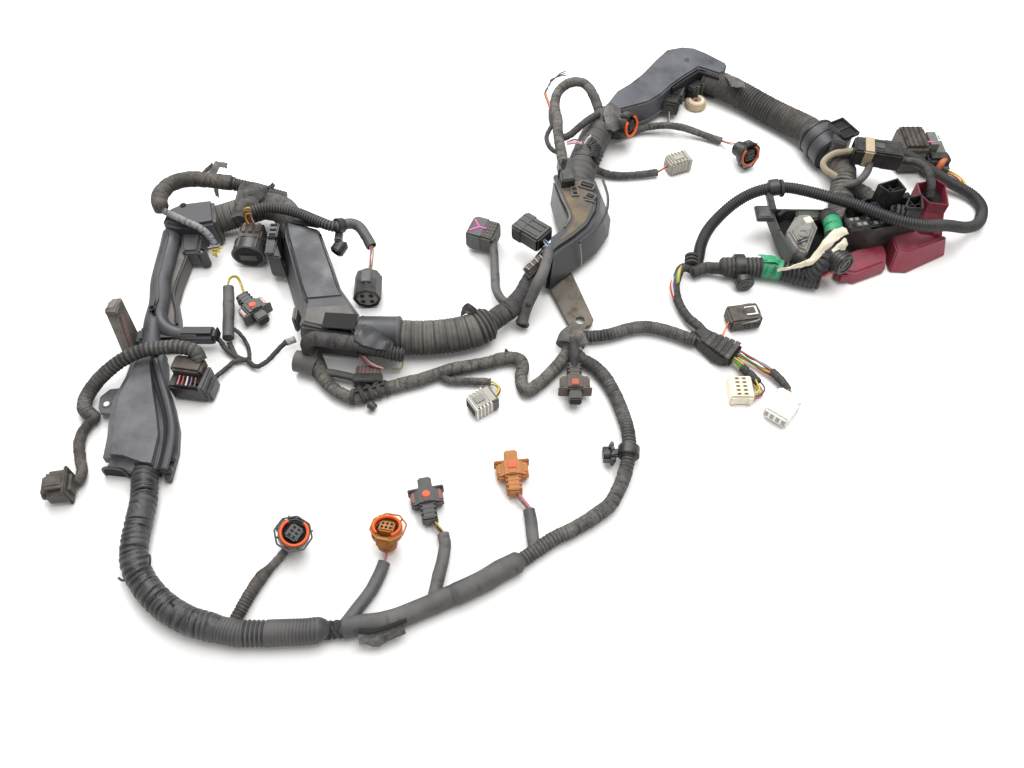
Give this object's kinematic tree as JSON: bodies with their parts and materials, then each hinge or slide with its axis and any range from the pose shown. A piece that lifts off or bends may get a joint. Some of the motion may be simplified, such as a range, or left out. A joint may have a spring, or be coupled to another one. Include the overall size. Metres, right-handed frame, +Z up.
{
  "type": "wiring harness",
  "caption": "Vehicle engine wiring harness lying flat: taped looms and ribbed conduit between moulded ducts, a fuse box with red shells, a steel bracket and many plugs.",
  "frame": {"origin": "centre of the harness's outline seen from above, on the plane it rests on", "axes": "+Z up off the bench, +X along the harness from the left duct to the fuse box, +Y away from the front loom"},
  "size_m": [0.8776, 0.6923, 0.0618],
  "materials": {
    "moulded_nylon": "dusty moulded nylon",
    "steel_plate": "plated, dull and dusty",
    "brass_bushing": "dull plated, dusty",
    "red_nylon": "satin moulded nylon",
    "black_nylon": "satin moulded nylon",
    "grey_nylon": "satin moulded nylon",
    "brown_nylon": "satin moulded nylon",
    "white_nylon": "satin moulded nylon",
    "loom_tape": "dusty cloth tape and ribbed conduit"
  },
  "bodies": {
    "root": {"left_duct": "moulded_nylon", "riser_duct": "moulded_nylon", "tab_bracket": "moulded_nylon", "middle_duct": "moulded_nylon", "middle_duct_cover": "moulded_nylon", "right_duct": "moulded_nylon", "upper_duct": "moulded_nylon", "trunk_clamp": "moulded_nylon", "connector_bowl": "moulded_nylon", "flat_shroud": "moulded_nylon", "steel_bracket": "steel_plate", "eyelet_bushing": "brass_bushing", "red_shell_right": "red_nylon", "red_shell_front": "red_nylon", "red_shell_left": "red_nylon", "relay_block": "black_nylon", "fuse_box": "black_nylon", "plug_round_ribbed": "black_nylon", "ring_clip": "black_nylon", "disc_clip": "black_nylon", "lobed_clip": "black_nylon", "flag_clip": "black_nylon", "plug_left_end": "black_nylon", "plug_left_duct": "black_nylon", "plug_stub_cross": "black_nylon", "plug_oval": "black_nylon", "plug_flat_twin": "black_nylon", "plug_pink_mark": "black_nylon", "plug_blue_wires": "black_nylon", "plug_junction_cross": "black_nylon", "plug_front_ring_black": "black_nylon", "plug_front_cross_black": "black_nylon", "plug_upper_ring": "black_nylon", "plug_upper_oval": "black_nylon", "plug_upper_ring_small": "black_nylon", "plug_bail_brown": "black_nylon", "joined_plug": "black_nylon", "plug_grey_round": "grey_nylon", "plug_four_pin": "grey_nylon", "plug_grey_square": "grey_nylon", "plug_upper_grey": "grey_nylon", "plug_booted": "grey_nylon", "plug_front_ring_brown": "brown_nylon", "plug_front_cross_brown": "brown_nylon", "plug_white_ten_way": "white_nylon", "plug_clear": "white_nylon", "front_loom": "loom_tape", "crossing_lead": "loom_tape", "thin_leads": "loom_tape", "corner_loop": "loom_tape", "upper_mid_lead": "loom_tape", "mid_trunk": "loom_tape", "mid_loom": "loom_tape", "upper_loom": "loom_tape", "right_trunk": "loom_tape", "right_bundle": "loom_tape", "right_loom": "loom_tape", "inner_lead": "loom_tape", "fanned_wires": "loom_tape"}
  },
  "joints": []
}
